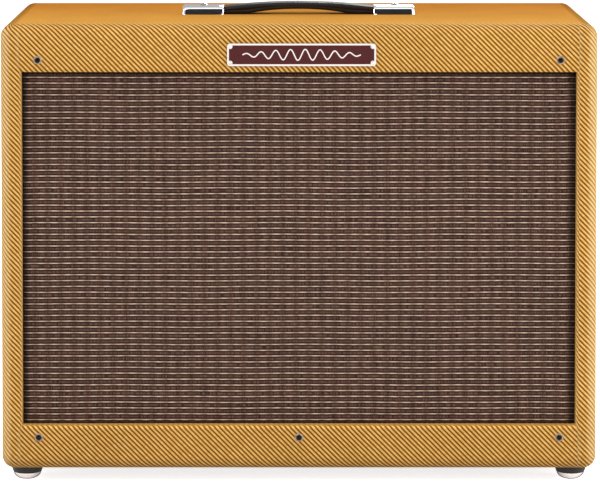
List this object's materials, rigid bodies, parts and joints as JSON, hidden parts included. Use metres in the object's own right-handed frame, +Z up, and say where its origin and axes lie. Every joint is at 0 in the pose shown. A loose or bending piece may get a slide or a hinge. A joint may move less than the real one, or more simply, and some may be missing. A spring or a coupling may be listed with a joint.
{
  "type": "guitar amplifier",
  "caption": "Open-back valve guitar combo amplifier: twill-covered box with woven grille, top strap handle, domed glides, one cone loudspeaker and a recessed rear control panel.",
  "frame": {"origin": "on the floor under the centre of the footprint: midway between the feet, at the middle of the cabinet's width and depth", "axes": "+X to the right seen from the grille side, +Y from the grille towards the open back, +Z up; the grille faces -Y"},
  "size_m": [0.597, 0.2723, 0.477],
  "materials": {
    "badge_enamel": "dark red enamel field, polished raised metal",
    "bare_plywood": "matt, unfinished",
    "basket_enamel": "hammered dark enamel",
    "black_board": "painted flat black",
    "black_moulding": "moulded black, grained",
    "black_phenolic": "moulded phenolic",
    "black_rubber": "matt",
    "black_steel": "black enamel",
    "brown_phenolic": "moulded phenolic",
    "cable_jacket": "smooth jacket",
    "chassis_steel": "folded plated sheet, satin",
    "doped_cloth": "doped cloth, slightly tacky sheen",
    "ferrite": "matt ceramic magnet, lacquered",
    "fibre_board": "phenolic board",
    "gasket_felt": "pressed fibre",
    "grille_weave": "woven, matt with metallic lines",
    "jewel_red": "faceted, translucent",
    "nickel": "bright nickel plate",
    "panel_face": "black with pale legends, semi-gloss",
    "paper_pulp": "pressed paper pulp, matt",
    "spider_cloth": "resin-stiffened cloth",
    "twill_covering": "lacquered diagonal twill, semi-gloss",
    "valve_glass": "clear",
    "valve_metal": "blackened nickel plates",
    "voice_coil": "enamelled copper on a paper former",
    "zinc_steel": "zinc plated, satin"
  },
  "bodies": {
    "cabinet": {"amp_chassis": "chassis_steel", "back_panel": "bare_plywood", "badge_pins": "nickel", "badge_plate": "badge_enamel", "baffle_board": "black_board", "cabinet_bottom": "bare_plywood", "cabinet_covering": "twill_covering", "cabinet_side_left": "bare_plywood", "cabinet_side_right": "bare_plywood", "cabinet_top": "bare_plywood", "circuit_board": "fibre_board", "control_panel": "panel_face", "foot_cushions": "black_rubber", "foot_glides": "nickel", "front_rails": "bare_plywood", "front_screws": "nickel", "fuse_holder": "black_phenolic", "grille_cloth": "grille_weave", "handle_end_caps": "nickel", "handle_screws": "nickel", "handle_strap_ends": "black_moulding", "mains_inlet": "black_phenolic", "output_transformer": "black_steel", "panel_nuts": "nickel", "phone_jacks": "black_phenolic", "pilot_lamp": "jewel_red", "potentiometers": "zinc_steel", "power_transformer": "black_steel", "rear_cleats": "bare_plywood", "rear_screws": "nickel", "speaker_basket": "basket_enamel", "speaker_bolts": "zinc_steel", "speaker_gasket": "gasket_felt", "speaker_lead": "cable_jacket", "speaker_magnet": "ferrite", "speaker_motor_plates": "zinc_steel", "speaker_spider": "spider_cloth", "speaker_surround": "doped_cloth", "speaker_terminals": "fibre_board", "toggle_switches": "nickel", "transformer_bolts": "zinc_steel", "valve_bases": "brown_phenolic", "valve_electrodes": "valve_metal", "valve_glass": "valve_glass", "valve_sockets": "brown_phenolic"},
    "volume_knob": {"knob_volume": "black_phenolic", "shaft_volume": "zinc_steel"},
    "treble_knob": {"knob_treble": "black_phenolic", "shaft_treble": "zinc_steel"},
    "bass_knob": {"knob_bass": "black_phenolic", "shaft_bass": "zinc_steel"},
    "master_knob": {"knob_master": "black_phenolic", "shaft_master": "zinc_steel"},
    "power_lever": {"power_switch_lever": "nickel"},
    "standby_lever": {"standby_switch_lever": "nickel"},
    "fuse_carrier": {"fuse_cap": "black_phenolic"},
    "cone_assembly": {"speaker_cone": "paper_pulp", "speaker_dust_cap": "paper_pulp", "speaker_voice_coil": "voice_coil"},
    "strap": {"handle_strap": "black_moulding"}
  },
  "joints": [
    {"name": "volume_turn", "type": "hinge", "parent": "cabinet", "child": "volume_knob", "pos_m": [-0.104, 0.1107, 0.3985], "axis": [0, -1, 0], "range_deg": [-150, 150]},
    {"name": "treble_turn", "type": "hinge", "parent": "cabinet", "child": "treble_knob", "pos_m": [-0.058, 0.1107, 0.3985], "axis": [0, -1, 0], "range_deg": [-150, 150]},
    {"name": "bass_turn", "type": "hinge", "parent": "cabinet", "child": "bass_knob", "pos_m": [-0.012, 0.1107, 0.3985], "axis": [0, -1, 0], "range_deg": [-150, 150]},
    {"name": "master_turn", "type": "hinge", "parent": "cabinet", "child": "master_knob", "pos_m": [0.034, 0.1107, 0.3985], "axis": [0, -1, 0], "range_deg": [-150, 150]},
    {"name": "power_throw", "type": "hinge", "parent": "cabinet", "child": "power_lever", "pos_m": [0.152, 0.1123, 0.3985], "axis": [1, 0, 0], "range_deg": [0, 24]},
    {"name": "standby_throw", "type": "hinge", "parent": "cabinet", "child": "standby_lever", "pos_m": [0.118, 0.1123, 0.3985], "axis": [1, 0, 0], "range_deg": [0, 24]},
    {"name": "fuse_cap_turn", "type": "hinge", "parent": "cabinet", "child": "fuse_carrier", "pos_m": [0.184, 0.1107, 0.3985], "axis": [0, 1, 0], "range_deg": [0, 90]},
    {"name": "cone_travel", "type": "slide", "parent": "cabinet", "child": "cone_assembly", "axis": [0, 1, 0], "range_m": [-0.004, 0.004], "stiffness_N_per_m": 1500, "deforming": ["speaker_surround", "speaker_spider"]},
    {"name": "handle_lift", "type": "slide", "parent": "cabinet", "child": "strap", "axis": [0, 0, 1], "range_m": [0, 0.02]}
  ]
}
